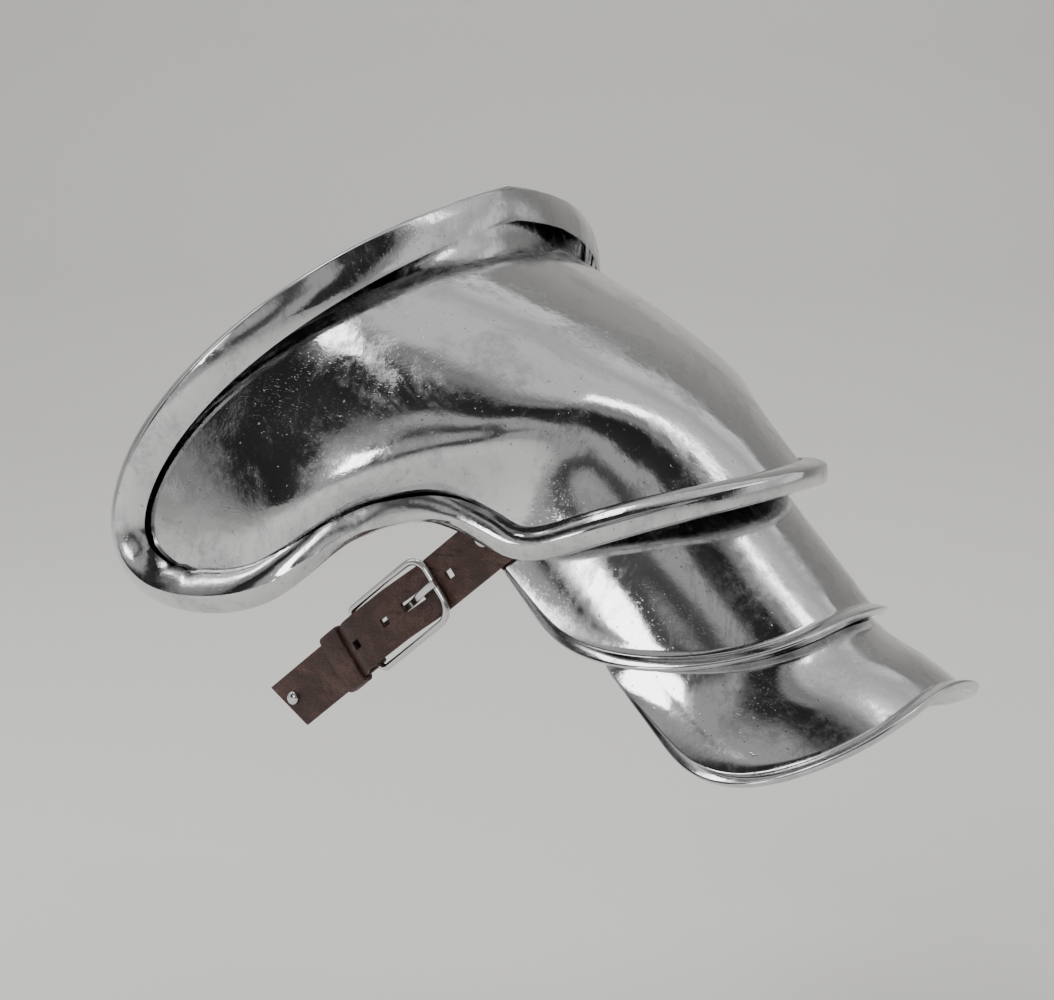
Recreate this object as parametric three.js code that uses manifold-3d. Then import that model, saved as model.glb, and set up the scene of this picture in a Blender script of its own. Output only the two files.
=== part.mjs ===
// A left pauldron of polished plate with the arm raised half way, in millimetres: +X runs out along the
// shoulder to the arm, -Y is the front and +Z is up. The origin is under the cap, on the shoulder that
// carries it.
import * as THREE from "three";
import { mergeVertices } from "three/addons/utils/BufferGeometryUtils.js";
import Module from "manifold-3d";

const wasm = await Module();
wasm.setup();

// Steel plates
const plateThickness = 1.4;
const lameThickness = 1.2;
const plateClearance = 0.4;

// Main plate: its ridge falls from the neck to the arm, and its wings reach back and down from the neck.
const ridgeRun = 142;
const ridgeFall = 97;
const wingBack = 127;
const wingDrop = 143;
const wingHalfWidth = 146;
const armRadius = 84;

// Rolled border of the main plate
const rollStand = 12;
const rollCrown = 1.3;
const creaseChamfer = 1.2;

// Where the shoulder bears under the cap, as a share of the way from the neck to the arm
const seatShare = 0.4;

// Arm plates, placed along the arm from the main plate's arm edge (negative is up the arm, under the plate
// above)
const armAngle = 45;
const upperSpan = 88;
const lowerSpan = 82;
const lameDrop = 10.5;
const upperLameTop = -28.5;
const upperLameEnd = 63.5;
const lowerLameTop = 45.5;
const lowerLameEnd = 113;
const lowerFlare = 12;
const crownReach = 0.32;
const lipStand = 5;

// Leathers inside that carry the arm plates
const leatherThickness = 2;
const leatherWidth = 20;
const leatherClearance = 1.2;

// Strap, laid flat against the upper lame's front and running down and forward from its riveted end, which
// is placed along the arm like the lames and above the upper lame's middle line
const strapWidth = 25;
const strapThickness = 2;
const strapAngle = 38.3;
const strapEndAlong = -56.85;
const strapEndRise = 13.6;
const strapRise = 1.4;
const strapGap = 1.2;
const strapMargin = 0.3;
const strapLength = 151.5;
const holeSize = 4.2;
const holePitch = 19.5;
const firstHole = 33.4;
const prongHole = 11;
const prongDive = 14.4;
const holeClearance = 0.3;
const anchorThickness = 1.6;
const endSlant = 8;
const keeperLength = 12;
const keeperThickness = 1.6;
const keeperBeyondHinge = 11.1;
const billetTuck = 1;
const rivetAlong = 8;
const rivetAcross = -3;
const rivetRadius = 4.5;
const rivetShank = 1.5;
const studRadius = 3.2;
const studShank = 1.2;
const studInset = 5;
const studAcross = -1.6;

// Buckle
const buckleLength = 52;
const buckleWidth = 34;
const buckleBar = 3.2;
const buckleStart = 40;
const prongWidth = 3.4;
const prongThickness = 1.6;

const degrees = Math.PI / 180;
const armAlong = new THREE.Vector3(Math.cos(armAngle * degrees), 0, -Math.sin(armAngle * degrees));
const armOut = new THREE.Vector3(Math.sin(armAngle * degrees), 0, Math.cos(armAngle * degrees));
const neckCrown = new THREE.Vector3(1, 0, -20);

const leather = () => new THREE.MeshStandardMaterial({ color: 0x4a2f28, roughness: 0.6, metalness: 0 });
const steel = () => new THREE.MeshStandardMaterial({ color: 0xc4c6c8, roughness: 0.22, metalness: 1 });

// Value of a table's named column at a share from 0 to 1 of its evenly spaced rows, on a smooth curve.
function column(rows, name, share) {
  const last = rows.length - 1;
  const row = Math.min(Math.max(share, 0), 1) * last;
  const i = Math.min(Math.floor(row), last - 1);
  const t = row - i;
  const value = (k) => {
    if (k < 0) return 2 * rows[0][name] - rows[1][name];
    if (k > last) return 2 * rows[last][name] - rows[last - 1][name];
    return rows[k][name];
  };
  const [a, b, c, d] = [i - 1, i, i + 1, i + 2].map(value);
  return b + 0.5 * t * (c - a + t * (2 * a - 5 * b + 4 * c - d + t * (3 * (b - c) + d - a)));
}

// One point of a plate and its outward normal, from the surface's two directions.
function surfaceFrame(surface, u, v) {
  const step = 1e-3;
  const [uLow, uHigh] = [Math.max(u - step, 0), Math.min(u + step, 1)];
  const [vLow, vHigh] = [Math.max(v - step, -1), Math.min(v + step, 1)];
  const alongU = surface(uHigh, v).sub(surface(uLow, v)).divideScalar(uHigh - uLow);
  const alongV = surface(u, vHigh).sub(surface(u, vLow)).divideScalar(vHigh - vLow);
  const out = alongU.clone().cross(alongV).normalize();
  return { point: surface(u, v), alongU, alongV, out };
}

// The edge of a plate: a rounded loop in the surface's own u (0 to 1) and v (-1 to 1), with its steps
// evenly spaced. It starts in the middle of the side at u = 0 and turns towards -Y first.
function edgeLoop(surface, squareStart, squareEnd, steps) {
  const fine = 720;
  const dense = [];
  for (let i = 0; i <= fine; i++) {
    const angle = (i / fine) * 360 * degrees;
    const [c, s] = [Math.cos(angle), Math.sin(angle)];
    const power = 2 / (c > 0 ? squareStart : squareEnd);
    const u = 0.5 - 0.5 * Math.sign(c) * Math.pow(Math.abs(c), power);
    const v = -Math.sign(s) * Math.pow(Math.abs(s), power);
    dense.push({ u, v, point: surface(u, v) });
  }
  const lengths = [0];
  for (let i = 1; i <= fine; i++) lengths.push(lengths[i - 1] + dense[i].point.distanceTo(dense[i - 1].point));
  const loop = [];
  let i = 0;
  for (let k = 0; k < steps; k++) {
    const wanted = (k / steps) * lengths[fine];
    while (lengths[i + 1] < wanted) i++;
    const t = (wanted - lengths[i]) / (lengths[i + 1] - lengths[i]);
    const u = dense[i].u + t * (dense[i + 1].u - dense[i].u);
    const v = dense[i].v + t * (dense[i + 1].v - dense[i].v);
    loop.push({ u, v, around: k / steps, ...surfaceFrame(surface, u, v) });
  }
  loop.forEach((edge, k) => {
    const run = loop[(k + 1) % steps].point.clone().sub(loop[(k + steps - 1) % steps].point).normalize();
    edge.away = edge.out.clone().cross(run).normalize();
    const inside = surface(0.5 + 0.9 * (edge.u - 0.5), 0.9 * edge.v);
    if (edge.away.dot(edge.point.clone().sub(inside)) < 0) edge.away.negate();
  });
  return loop;
}

// A place near the edge: `along` runs away from the plate across its edge and, where negative, back over
// the plate's own surface; `out` stands off the plate.
function offEdge(surface, edge, [along, out]) {
  if (along >= 0) return edge.point.clone().addScaledVector(edge.away, along).addScaledVector(edge.out, out);
  const target = edge.away.clone().multiplyScalar(along);
  const [uu, uv, vv] = [edge.alongU.lengthSq(), edge.alongU.dot(edge.alongV), edge.alongV.lengthSq()];
  const [tu, tv] = [target.dot(edge.alongU), target.dot(edge.alongV)];
  const spread = uu * vv - uv * uv;
  const u = edge.u + (tu * vv - tv * uv) / spread;
  const v = edge.v + (tv * uu - tu * uv) / spread;
  const base = surfaceFrame(surface, Math.min(Math.max(u, 0), 1), Math.min(Math.max(v, -1), 1));
  return base.point.addScaledVector(base.out, out);
}

// Closed skin through rings of points, from a first single point to a last one.
function skin(first, rings, last) {
  const points = [first, ...rings.flat(), last];
  const steps = rings[0].length;
  const index = [];
  const at = (ring, k) => 1 + ring * steps + (k % steps);
  for (let k = 0; k < steps; k++) {
    index.push(0, at(0, k), at(0, k + 1));
    for (let ring = 0; ring + 1 < rings.length; ring++) {
      index.push(at(ring, k), at(ring + 1, k), at(ring + 1, k + 1));
      index.push(at(ring, k), at(ring + 1, k + 1), at(ring, k + 1));
    }
    index.push(at(rings.length - 1, k), points.length - 1, at(rings.length - 1, k + 1));
  }
  const geometry = new THREE.BufferGeometry().setFromPoints(points);
  geometry.setIndex(index);
  geometry.computeVertexNormals();
  return geometry;
}

// Rings over a plate's face from its middle to its edge, sunk below the outer face by `depth`.
function faceRings(surface, loop, shares, depth) {
  return shares.map((share) => loop.map((edge) => {
    if (share === 1) return edge.point.clone().addScaledVector(edge.out, -depth);
    const at = surfaceFrame(surface, 0.5 + share * (edge.u - 0.5), share * edge.v);
    return at.point.addScaledVector(at.out, -depth);
  }));
}

// Both sides of a bent strip of sheet: the side on the right of its run, and the one a thickness to the left.
function bentSheet(outline, thickness) {
  const left = outline.map((point, i) => {
    const before = outline[Math.max(i - 1, 0)];
    const after = outline[Math.min(i + 1, outline.length - 1)];
    const turn = (a, b) => {
      const [x, y] = [b[0] - a[0], b[1] - a[1]];
      const length = Math.hypot(x, y) || 1;
      return [-y / length, x / length];
    };
    const first = i === 0 ? turn(point, after) : turn(before, point);
    const second = i === outline.length - 1 ? first : turn(point, after);
    const middle = [first[0] + second[0], first[1] + second[1]];
    const scale = (2 * thickness) / (middle[0] ** 2 + middle[1] ** 2);
    return [point[0] + middle[0] * scale, point[1] + middle[1] * scale];
  });
  return { right: outline, left };
}

// Main plate
// Sections from the neck to the arm. Crowns are shares of the ridge, feet shares of the wing, width the
// share between the arm's and the wing's half width, and round bends each section from a straight slope to
// a square shoulder.
const capSections = [
  { crownX: 0.00, crownZ: 0.02, footX: -1.00, footZ: 0.955, width: 1.00, roundX: 0.84, roundZ: 0.54 },
  { crownX: 0.24, crownZ: 0.19, footX: -0.64, footZ: 1.00, width: 1.00, roundX: 0.87, roundZ: 0.58 },
  { crownX: 0.44, crownZ: 0.35, footX: -0.31, footZ: 0.955, width: 0.92, roundX: 0.90, roundZ: 0.66 },
  { crownX: 0.62, crownZ: 0.515, footX: -0.03, footZ: 0.755, width: 0.60, roundX: 0.93, roundZ: 0.76 },
  { crownX: 0.80, crownZ: 0.725, footX: 0.21, footZ: 0.77, width: 0.16, roundX: 1.05, roundZ: 0.72 },
  { crownX: 1.00, crownZ: 1.00, footX: 0.50, footZ: 1.16, width: 0.00, roundX: 1.20, roundZ: 0.35 },
];

function capPoint(u, angle) {
  const get = (name) => column(capSections, name, u);
  const level = Math.max(Math.cos(angle), 0);
  const fallX = 1 - Math.pow(level, get("roundX"));
  const fallZ = 1 - Math.pow(level, get("roundZ"));
  const crownX = get("crownX") * ridgeRun;
  const crownZ = -get("crownZ") * ridgeFall;
  const footX = get("footX") * wingBack;
  const footZ = -get("footZ") * wingDrop;
  const half = armRadius + get("width") * (wingHalfWidth - armRadius);
  const x = crownX + (footX - crownX) * fallX;
  const z = crownZ + (footZ - crownZ) * fallZ;
  return new THREE.Vector3(x, half * Math.sin(angle), z).add(neckCrown);
}

// Outer face of the cap: u from the neck to the arm, v from the crown (0) to the foot in front (-1) or
// behind (1), in even lengths along each section.
const capLengths = new Map();
function capSurface(u, v) {
  const steps = 40;
  const angleAt = (share) => 90 * degrees * (1 - Math.pow(1 - share, 3));
  if (!capLengths.has(u)) {
    const lengths = [0];
    let before = capPoint(u, 0);
    for (let i = 1; i <= steps; i++) {
      const point = capPoint(u, angleAt(i / steps));
      lengths.push(lengths[i - 1] + point.distanceTo(before));
      before = point;
    }
    capLengths.set(u, lengths);
  }
  const lengths = capLengths.get(u);
  const wanted = Math.min(Math.abs(v), 1) * lengths[steps];
  let i = 0;
  while (i < steps - 1 && lengths[i + 1] < wanted) i++;
  const share = (i + (wanted - lengths[i]) / (lengths[i + 1] - lengths[i])) / steps;
  const point = capPoint(u, angleAt(share));
  point.y *= Math.sign(v);
  return point;
}

// The border's roll from the neck (first row) round the wing tip and the lower edge to the arm (last row):
// the low crease and the outer crease, each along and out from the plate's edge, and the free edge that
// comes back over it.
const rollStations = [
  { lowAlong: 1.90, lowOut: 1.80, creaseAlong: 1.65, creaseOut: 2.00, cover: -0.80, lift: 1.00 },
  { lowAlong: 1.30, lowOut: 1.00, creaseAlong: 0.95, creaseOut: 1.45, cover: 0.15, lift: 0.50 },
  { lowAlong: 0.75, lowOut: 0.45, creaseAlong: 0.10, creaseOut: 1.00, cover: 0.80, lift: 0.27 },
  { lowAlong: 0.70, lowOut: 0.30, creaseAlong: -0.05, creaseOut: 0.85, cover: 0.85, lift: 0.15 },
  { lowAlong: 0.38, lowOut: 0.25, creaseAlong: -0.22, creaseOut: 0.70, cover: 0.85, lift: 0.15 },
  { lowAlong: 0.25, lowOut: 0.30, creaseAlong: -0.22, creaseOut: 0.80, cover: 0.95, lift: 0.15 },
];

function rollOutline(around) {
  const get = (name) => rollStand * column(rollStations, name, 1 - Math.abs(1 - 2 * around));
  const low = [get("lowAlong"), get("lowOut")];
  const crease = [get("creaseAlong"), get("creaseOut")];
  const free = [-get("cover"), get("lift")];
  const start = [0, -plateThickness];
  const elbow = [0.6 * low[0], -plateThickness];
  const bend = (t) => [0, 1].map((k) => (1 - t) ** 2 * start[k] + 2 * t * (1 - t) * elbow[k] + t * t * low[k]);
  const towards = (from, to, distance) => {
    const share = distance / Math.hypot(to[0] - from[0], to[1] - from[1]);
    return [from[0] + share * (to[0] - from[0]), from[1] + share * (to[1] - from[1])];
  };
  const bendEnd = bend(0.8);
  const [runAlong, runOut] = [free[0] - crease[0], free[1] - crease[1]];
  const crowned = rollCrown / Math.hypot(runAlong, runOut);
  const middle = [
    0.5 * (crease[0] + free[0]) + crowned * runOut,
    0.5 * (crease[1] + free[1]) - crowned * runAlong,
  ];
  const outline = [
    start,
    bend(0.35),
    bend(0.7),
    towards(low, bendEnd, creaseChamfer),
    towards(low, crease, creaseChamfer),
    towards(crease, low, creaseChamfer),
    towards(crease, middle, creaseChamfer),
    middle,
    free,
  ];
  return bentSheet(outline, plateThickness);
}

function makeMainPlate() {
  const steps = 88;
  const loop = edgeLoop(capSurface, 7, 3.8, steps);
  const shares = [0.14, 0.28, 0.42, 0.55, 0.68, 0.8, 0.91, 1];
  const outlines = loop.map((edge) => rollOutline(edge.around));
  const ringOf = (side, i) => loop.map((edge, k) => offEdge(capSurface, edge, outlines[k][side][i]));
  const count = outlines[0].right.length;
  const inside = Array.from({ length: count - 1 }, (_, i) => ringOf("left", i + 1));
  const outside = Array.from({ length: count - 1 }, (_, i) => ringOf("right", count - 1 - i));
  const under = faceRings(capSurface, loop, shares, plateThickness).reverse();
  const top = surfaceFrame(capSurface, 0.5, 0);
  const bottom = top.point.clone().addScaledVector(top.out, -plateThickness);
  const rings = [...faceRings(capSurface, loop, shares, 0), ...inside, ...outside, ...under];
  return skin(top.point, rings, bottom);
}

// Solids joined or cut
function solidOf(geometry) {
  const plain = geometry.clone();
  for (const name of ["normal", "uv"]) plain.deleteAttribute(name);
  const merged = mergeVertices(plain, 1e-4);
  const mesh = new wasm.Mesh({
    numProp: 3,
    vertProperties: new Float32Array(merged.attributes.position.array),
    triVerts: new Uint32Array(merged.index.array),
  });
  return new wasm.Manifold(mesh);
}

function geometryOf(solid) {
  const mesh = solid.getMesh();
  const geometry = new THREE.BufferGeometry();
  geometry.setAttribute("position", new THREE.BufferAttribute(new Float32Array(mesh.vertProperties), 3));
  geometry.setIndex(new THREE.BufferAttribute(new Uint32Array(mesh.triVerts), 1));
  return geometry;
}

// Arm plates
// The arm's own frame: its middle line starts at the centre of the main plate's arm edge.
const armEdgeCrown = capPoint(1, 0);
function armPoint(along, out, side) {
  return armEdgeCrown.clone().addScaledVector(armAlong, along).addScaledVector(armOut, out - armRadius)
    .setY(side);
}

const lameRadius = armRadius - plateThickness - strapThickness - strapRise;
const lowerRadius = lameRadius - lameThickness - plateClearance;

// Sections of each lame from its top to its end, in shares of its own radius: how far its centre is off the
// arm's middle line, how high its crown stands over that centre, and its half width. The lower one flares
// out.
const upperSections = [
  { centre: 0.00, rise: 1.02, half: 1.00 },
  { centre: 0.00, rise: 0.995, half: 1.00 },
];
const flareShare = lowerFlare / lowerRadius;
const lowerSections = [
  { centre: 0.02, rise: 0.93, half: 0.985 },
  { centre: 0.03, rise: 0.95, half: 0.985 },
  { centre: 0.06, rise: 0.95 + 0.48 * flareShare, half: 0.99 + 0.25 * flareShare },
  { centre: 0.09, rise: 0.95 + 0.75 * flareShare, half: 0.99 + 0.55 * flareShare },
];

// A lame's outer face: its top and its end are nearer each other at the feet, by the two sweeps, and its end
// rises again over the crown.
function lameSurface(sections, radius, lame) {
  return (u, v) => {
    const get = (name) => radius * column(sections, name, u);
    const angle = v * lame.span * degrees;
    const top = lame.top - lame.topSweep * v * v;
    const end = lame.end - lame.endSweep * v * v - lame.crownRise * Math.exp(-((v / crownReach) ** 2));
    const out = get("centre") - lameDrop + get("rise") * Math.cos(angle);
    return armPoint(top + u * (end - top), out, get("half") * Math.sin(angle));
  };
}

// The turned lip's height round a lame, as a share of the full lip: none at the hidden top, full below.
const lipStations = [0.12, 0.12, 0.14, 0.75, 0.85, 1].map((height) => ({ height }));

function makeLame(surface) {
  const steps = 44;
  const loop = edgeLoop(surface, 12, 3, steps);
  const lip = (along, out) => loop.map((edge) => {
    const stand = lipStand * column(lipStations, "height", 1 - Math.abs(1 - 2 * edge.around));
    return offEdge(surface, edge, [along * stand, out * stand]);
  });
  const shares = [0.12, 0.25, 0.4, 0.55, 0.7, 0.85];
  const rings = [
    ...faceRings(surface, loop, shares, 0),
    lip(-1.1, 0),
    lip(-0.6, 0.5),
    lip(0, 0.98),
    lip(0.2, 0.98),
    lip(0.42, 0.3),
    loop.map((edge) => edge.point.clone().addScaledVector(edge.out, -lameThickness)),
    ...faceRings(surface, loop, shares, lameThickness).reverse(),
  ];
  const top = surfaceFrame(surface, 0.5, 0);
  return skin(top.point, rings, top.point.clone().addScaledVector(top.out, -lameThickness));
}

const upperSurface = lameSurface(upperSections, lameRadius,
  { span: upperSpan, top: upperLameTop, topSweep: 40, end: upperLameEnd, endSweep: 42, crownRise: 5 });
const lowerSurface = lameSurface(lowerSections, lowerRadius,
  { span: lowerSpan, top: lowerLameTop, topSweep: 38, end: lowerLameEnd, endSweep: 12, crownRise: 6 });

// Leathers: a strip under the plates at one angle round the arm, through places on the main plate's, the
// upper lame's and the lower lame's inner faces.
const leatherStops = [
  { surface: capSurface, thickness: plateThickness, at: [0.66, 0.7] },
  { surface: upperSurface, thickness: lameThickness, at: [-0.08, 0.1, 0.3, 0.5, 0.7] },
  { surface: lowerSurface, thickness: lameThickness, at: [-0.08, 0.1, 0.25, 0.42] },
];

function slab(top, bottom) {
  const [rows, columns] = [top.length, top[0].length];
  const points = [...top.flat(), ...bottom.flat()];
  const under = rows * columns;
  const index = [];
  const quad = (a, b, c, d) => index.push(a, b, c, a, c, d);
  for (let i = 0; i + 1 < rows; i++) {
    for (let j = 0; j + 1 < columns; j++) {
      const a = i * columns + j;
      quad(a, a + columns, a + columns + 1, a + 1);
      quad(under + a, under + a + 1, under + a + columns + 1, under + a + columns);
    }
  }
  const rim = [];
  for (let j = 0; j + 1 < columns; j++) rim.push([j, j + 1]);
  for (let i = 0; i + 1 < rows; i++) rim.push([(i + 1) * columns - 1, (i + 2) * columns - 1]);
  for (let j = columns - 1; j > 0; j--) rim.push([(rows - 1) * columns + j, (rows - 1) * columns + j - 1]);
  for (let i = rows - 1; i > 0; i--) rim.push([i * columns, (i - 1) * columns]);
  for (const [a, b] of rim) quad(a, b, under + b, under + a);
  const geometry = new THREE.BufferGeometry().setFromPoints(points);
  geometry.setIndex(index);
  geometry.computeVertexNormals();
  return geometry;
}

function makeLeather(middle) {
  const layer = (depth) => leatherStops.flatMap(({ surface, thickness, at }) => at.map((u) => {
    const across = [-1, -0.33, 0.33, 1];
    return across.map((side) => {
      const v = middle + (side * leatherWidth) / (Math.PI * lameRadius);
      const frame = surfaceFrame(surface, u, v);
      return frame.point.addScaledVector(frame.out, -thickness - leatherClearance - depth);
    });
  }));
  return slab(layer(0), layer(leatherThickness));
}

// Strap and buckle, in the strap's own frame: x runs down the strap from its riveted end, y across it, z
// out from it.
const strapFrame = new THREE.Matrix4().makeBasis(
  new THREE.Vector3(-Math.cos(strapAngle * degrees), 0, -Math.sin(strapAngle * degrees)),
  new THREE.Vector3(Math.sin(strapAngle * degrees), 0, -Math.cos(strapAngle * degrees)),
  new THREE.Vector3(0, -1, 0),
).setPosition(armPoint(strapEndAlong, strapEndRise - lameDrop, -(lameRadius + strapGap)));

const barCentre = strapThickness + holeClearance + 0.5 * buckleBar;
const hingeAlong = buckleStart + buckleLength - 0.5 * buckleBar;
const farBarAlong = buckleStart + 0.5 * buckleBar;
const loopRadius = 0.5 * buckleBar + holeClearance + anchorThickness;
const anchorLow = barCentre - loopRadius;
const anchorHigh = anchorLow + anchorThickness;
const keeperStart = hingeAlong + keeperBeyondHinge;
const billetLength = keeperStart + keeperLength - billetTuck;

// A band whose side view is a centre line of [x, z] points with a thickness.
function sideBand(line, thickness) {
  const lower = line.map(([x, z]) => [x, z]);
  const { left, right } = bentSheet(lower, 0.5 * thickness);
  const other = bentSheet([...lower].reverse(), 0.5 * thickness).left.reverse();
  return new THREE.Shape([...left, ...other.reverse()].map(([x, z]) => new THREE.Vector2(x, z)));
}

const punchDepth = 2 * strapWidth;

// Solid that is a side view across the strap and a plan at once, with punches taken out.
function cutBand(side, plan, punches) {
  const band = new THREE.ExtrudeGeometry(side, { depth: punchDepth, bevelEnabled: false, curveSegments: 12 });
  band.rotateX(90 * degrees).translate(0, 0.5 * punchDepth, 0);
  const cutter = new THREE.ExtrudeGeometry(plan, { depth: punchDepth, bevelEnabled: false, curveSegments: 12 });
  cutter.translate(0, 0, -0.5 * punchDepth);
  const whole = solidOf(band).intersect(solidOf(cutter));
  return geometryOf(punches.reduce((solid, punch) => solid.subtract(solidOf(punch)), whole));
}

function squarePunch(x, length, width) {
  return new THREE.BoxGeometry(length, width, punchDepth).translate(x, 0, 0);
}

function roundPunch(x, y, radius) {
  return new THREE.CylinderGeometry(radius, radius, punchDepth, 16).rotateX(90 * degrees).translate(x, y, 0);
}

// Heights of the strap's middle along its length: flat, under the far bar, over the prong and hinge, into
// the keeper.
const lyingHeight = 0.5 * strapThickness;
const overHinge = barCentre + loopRadius + holeClearance + 0.5 * strapThickness;
const inKeeper = anchorHigh + holeClearance + 0.5 * strapThickness;
const billetLine = [
  [0, lyingHeight],
  [farBarAlong + 5, lyingHeight],
  [farBarAlong + 10, lyingHeight + 0.2 * (overHinge - lyingHeight)],
  [farBarAlong + 18, lyingHeight + 0.55 * (overHinge - lyingHeight)],
  [farBarAlong + 24, lyingHeight + 0.8 * (overHinge - lyingHeight)],
  [hingeAlong - 5, lyingHeight + 0.98 * (overHinge - lyingHeight)],
  [hingeAlong, overHinge],
  [hingeAlong + 4, overHinge - 0.1 * (overHinge - inKeeper)],
  [hingeAlong + 7, inKeeper + 0.4 * (overHinge - inKeeper)],
  [keeperStart - 1, inKeeper],
  [billetLength, inKeeper],
];

function makeBillet() {
  const half = 0.5 * strapWidth;
  const plan = new THREE.Shape([[3, -half], [billetLength, -half], [billetLength, half], [3, half],
    [0, half - 3], [0, -half + 3]].map(([x, y]) => new THREE.Vector2(x, y)));
  return cutBand(sideBand(billetLine, strapThickness), plan, [
    roundPunch(rivetAlong, rivetAcross, rivetShank + holeClearance),
    squarePunch(firstHole, holeSize, holeSize),
    squarePunch(farBarAlong + prongDive, prongHole, holeSize + 2 * holeClearance),
    squarePunch(firstHole + 2 * holePitch, holeSize, holeSize),
    squarePunch(firstHole + 3 * holePitch, holeSize, holeSize),
  ]);
}

function makeAnchor() {
  const side = new THREE.Shape();
  const [low, high] = [anchorLow, anchorHigh];
  side.moveTo(strapLength + endSlant, low);
  side.lineTo(strapLength + endSlant, high);
  side.lineTo(hingeAlong + 9, high);
  side.lineTo(hingeAlong + 6, high + 1.2);
  side.lineTo(hingeAlong + 2.4, barCentre + 0.8 * loopRadius);
  side.absarc(hingeAlong, barCentre, loopRadius, 50 * degrees, 270 * degrees, false);
  side.closePath();
  const eye = new THREE.Path();
  eye.absarc(hingeAlong, barCentre, 0.5 * buckleBar + holeClearance, 0, 2 * Math.PI, true);
  side.holes.push(eye);
  const half = 0.5 * strapWidth;
  const bulge = 1.2;
  const plan = new THREE.Shape();
  plan.moveTo(hingeAlong - 10, -half);
  plan.lineTo(strapLength + 0.5 * endSlant, -half);
  plan.quadraticCurveTo(strapLength + bulge, 0, strapLength - 0.5 * endSlant, half);
  plan.lineTo(hingeAlong - 10, half);
  plan.closePath();
  return cutBand(side, plan, [
    squarePunch(hingeAlong, 2 * loopRadius + 3, prongWidth + 1),
    roundPunch(strapLength - studInset, studAcross, studShank + holeClearance),
  ]);
}

function makeFrame() {
  const [x0, x1] = [farBarAlong, hingeAlong];
  const half = 0.5 * (buckleWidth - buckleBar);
  const corners = [[x1, half, 0, 3], [x0, half, 90, 6], [x0, -half, 180, 6], [x1, -half, 270, 3]];
  const points = corners.flatMap(([x, y, start, corner]) => {
    const [cx, cy] = [x - Math.sign(x - 0.5 * (x0 + x1)) * corner, y - Math.sign(y) * corner];
    return [-45, 0, 30, 60, 90].map((turn) => {
      const angle = (start + Math.max(turn, 0)) * degrees;
      const back = turn < 0 ? 4 : 0;
      return new THREE.Vector3(cx + corner * Math.cos(angle) + back * Math.sin(angle),
        cy + corner * Math.sin(angle) - back * Math.cos(angle), barCentre);
    });
  });
  const curve = new THREE.CatmullRomCurve3(points, true, "centripetal");
  return new THREE.TubeGeometry(curve, 48, 0.5 * buckleBar, 8, true);
}

function makeProng() {
  const low = barCentre - 0.5 * buckleBar + 0.5 * prongThickness;
  const high = barCentre + 0.5 * buckleBar + holeClearance + 0.5 * prongThickness;
  const line = [
    [farBarAlong - 2, high - 0.2],
    [farBarAlong + 1, high],
    [farBarAlong + 5, high - 0.3],
    [farBarAlong + 9, low + 0.7 * (high - low)],
    [farBarAlong + 16, low],
    [hingeAlong - 1.2, low],
  ];
  const shank = new THREE.ExtrudeGeometry(sideBand(line, prongThickness),
    { depth: prongWidth, bevelEnabled: false });
  const eyeShape = new THREE.Shape();
  const outer = 0.5 * buckleBar + holeClearance + 1.2;
  eyeShape.absarc(hingeAlong, barCentre, outer, 0, 2 * Math.PI, false);
  const eye = new THREE.ExtrudeGeometry(eyeShape, { depth: prongWidth, bevelEnabled: false, curveSegments: 16 });
  const boreShape = new THREE.Shape();
  boreShape.absarc(hingeAlong, barCentre, 0.5 * buckleBar + holeClearance, 0, 2 * Math.PI, false);
  const bore = new THREE.ExtrudeGeometry(boreShape, { depth: 3 * prongWidth, bevelEnabled: false, curveSegments: 16 });
  bore.translate(0, 0, -prongWidth);
  const whole = solidOf(shank).add(solidOf(eye)).subtract(solidOf(bore));
  return geometryOf(whole).rotateX(90 * degrees).translate(0, 0.5 * prongWidth, 0);
}

function makeKeeper() {
  const half = 0.5 * strapWidth + strapMargin;
  const [low, high] = [anchorLow - strapMargin, inKeeper + 0.5 * strapThickness + strapMargin];
  const box = (grow, type) => new type([[-half - grow, low - grow], [half + grow, low - grow],
    [half + grow, high + grow], [-half - grow, high + grow]].map(([x, y]) => new THREE.Vector2(x, y)));
  const shape = box(keeperThickness, THREE.Shape);
  shape.holes.push(box(0, THREE.Path));
  const loop = new THREE.ExtrudeGeometry(shape, { depth: keeperLength, bevelEnabled: false });
  return loop.applyMatrix4(new THREE.Matrix4().makeBasis(
    new THREE.Vector3(0, 1, 0), new THREE.Vector3(0, 0, 1), new THREE.Vector3(1, 0, 0),
  )).translate(keeperStart, 0, 0);
}

// A domed rivet round its own axis: its head above the leather, its shank through it, its plain foot behind.
function makeRivet(radius, shank, headSeat, footSeat) {
  const dome = 0.62 * radius;
  const foot = 1;
  const profile = [new THREE.Vector2(0, footSeat - foot), new THREE.Vector2(0.8 * radius, footSeat - foot),
    new THREE.Vector2(0.8 * radius, footSeat), new THREE.Vector2(shank, footSeat), new THREE.Vector2(shank, headSeat),
    new THREE.Vector2(radius, headSeat)];
  for (let angle = 18; angle <= 90; angle += 18) {
    profile.push(new THREE.Vector2(angle === 90 ? 0 : radius * Math.cos(angle * degrees),
      headSeat + dome * Math.sin(angle * degrees)));
  }
  return new THREE.LatheGeometry(profile, 16).rotateX(90 * degrees);
}

const rivetFoot = -strapGap - lameThickness - 0.9;
const rivetSpot = new THREE.Vector3(rivetAlong, rivetAcross, 0);
const studSpot = new THREE.Vector3(strapLength - studInset, studAcross, 0);

// The upper lame's front corner is drilled for the strap's rivet.
function makeUpperLame() {
  const bore = rivetShank + holeClearance;
  const drill = new THREE.CylinderGeometry(bore, bore, 16, 16);
  drill.rotateX(90 * degrees).translate(rivetAlong, rivetAcross, 0).applyMatrix4(strapFrame);
  return geometryOf(solidOf(makeLame(upperSurface)).subtract(solidOf(drill)));
}

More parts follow.
